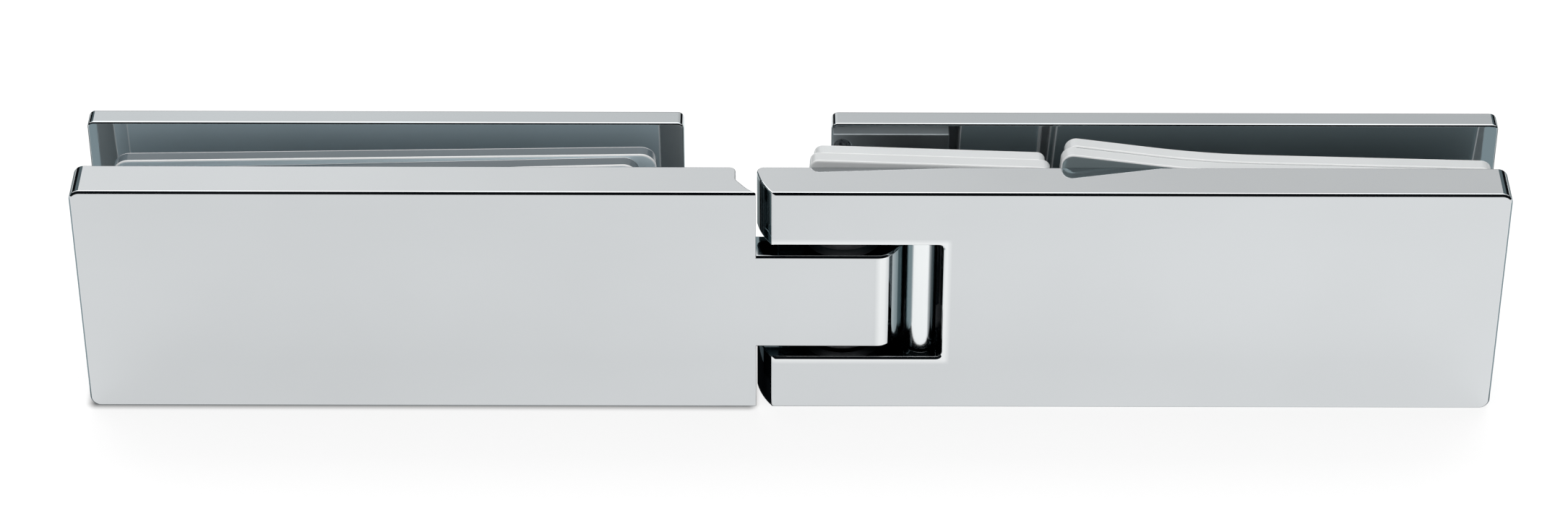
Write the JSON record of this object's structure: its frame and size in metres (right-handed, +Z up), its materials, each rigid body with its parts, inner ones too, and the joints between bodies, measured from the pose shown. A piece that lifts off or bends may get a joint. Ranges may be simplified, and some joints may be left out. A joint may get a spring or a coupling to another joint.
{
  "type": "glass door hinge",
  "caption": "Polished glass-to-glass door hinge: two long leaves that clamp panes, joined by a round knuckle in a rectangular notch.",
  "frame": {"origin": "on the resting surface, under the middle of the hinge's length and depth", "axes": "+X along the hinge from the fixed leaf to the door leaf, +Y from the front faces to the back plates, +Z up along the pivot"},
  "size_m": [0.2662, 0.0266, 0.0527],
  "materials": {
    "polished_plate": "mirror polished",
    "polished_roller": "mirror polished",
    "steel": "turned steel",
    "bearing_plastic": "satin",
    "clear_inlay": "clear, slightly milky",
    "sleeve_plastic": "plain"
  },
  "bodies": {
    "fixed_leaf": {"fixed_knuckle_leaf": "polished_plate", "fixed_back_plate": "polished_plate", "fixed_inlay_front": "clear_inlay", "fixed_inlay_rear": "clear_inlay", "fixed_clamp_screw_outer": "steel", "fixed_clamp_screw_inner": "steel", "fixed_screw_sleeve_outer": "sleeve_plastic", "fixed_screw_sleeve_inner": "sleeve_plastic", "knuckle_bush_upper": "bearing_plastic", "knuckle_bush_lower": "bearing_plastic"},
    "door_leaf": {"door_notched_leaf": "polished_plate", "door_back_plate": "polished_plate", "door_inlay_inner_front": "clear_inlay", "door_inlay_inner_rear": "clear_inlay", "door_inlay_outer_front": "clear_inlay", "door_inlay_outer_rear": "clear_inlay", "door_clamp_screw_inner": "steel", "door_clamp_screw_outer": "steel", "door_screw_sleeve_inner": "sleeve_plastic", "door_screw_sleeve_outer": "sleeve_plastic", "pivot_pin": "steel", "pin_grub_screw_upper": "steel", "pin_grub_screw_lower": "steel", "roller_axle": "steel"},
    "roller": {"guard_roller": "polished_roller"}
  },
  "joints": [
    {"name": "door_swing", "type": "hinge", "parent": "fixed_leaf", "child": "door_leaf", "pos_m": [0.0099, -0.00365, 0.025], "axis": [0, 0, 1], "range_deg": [-90, 90]},
    {"name": "roller_spin", "type": "hinge", "parent": "door_leaf", "child": "roller", "pos_m": [0.0246, -0.00825, 0.025], "axis": [0, 0, 1], "continuous": true}
  ]
}
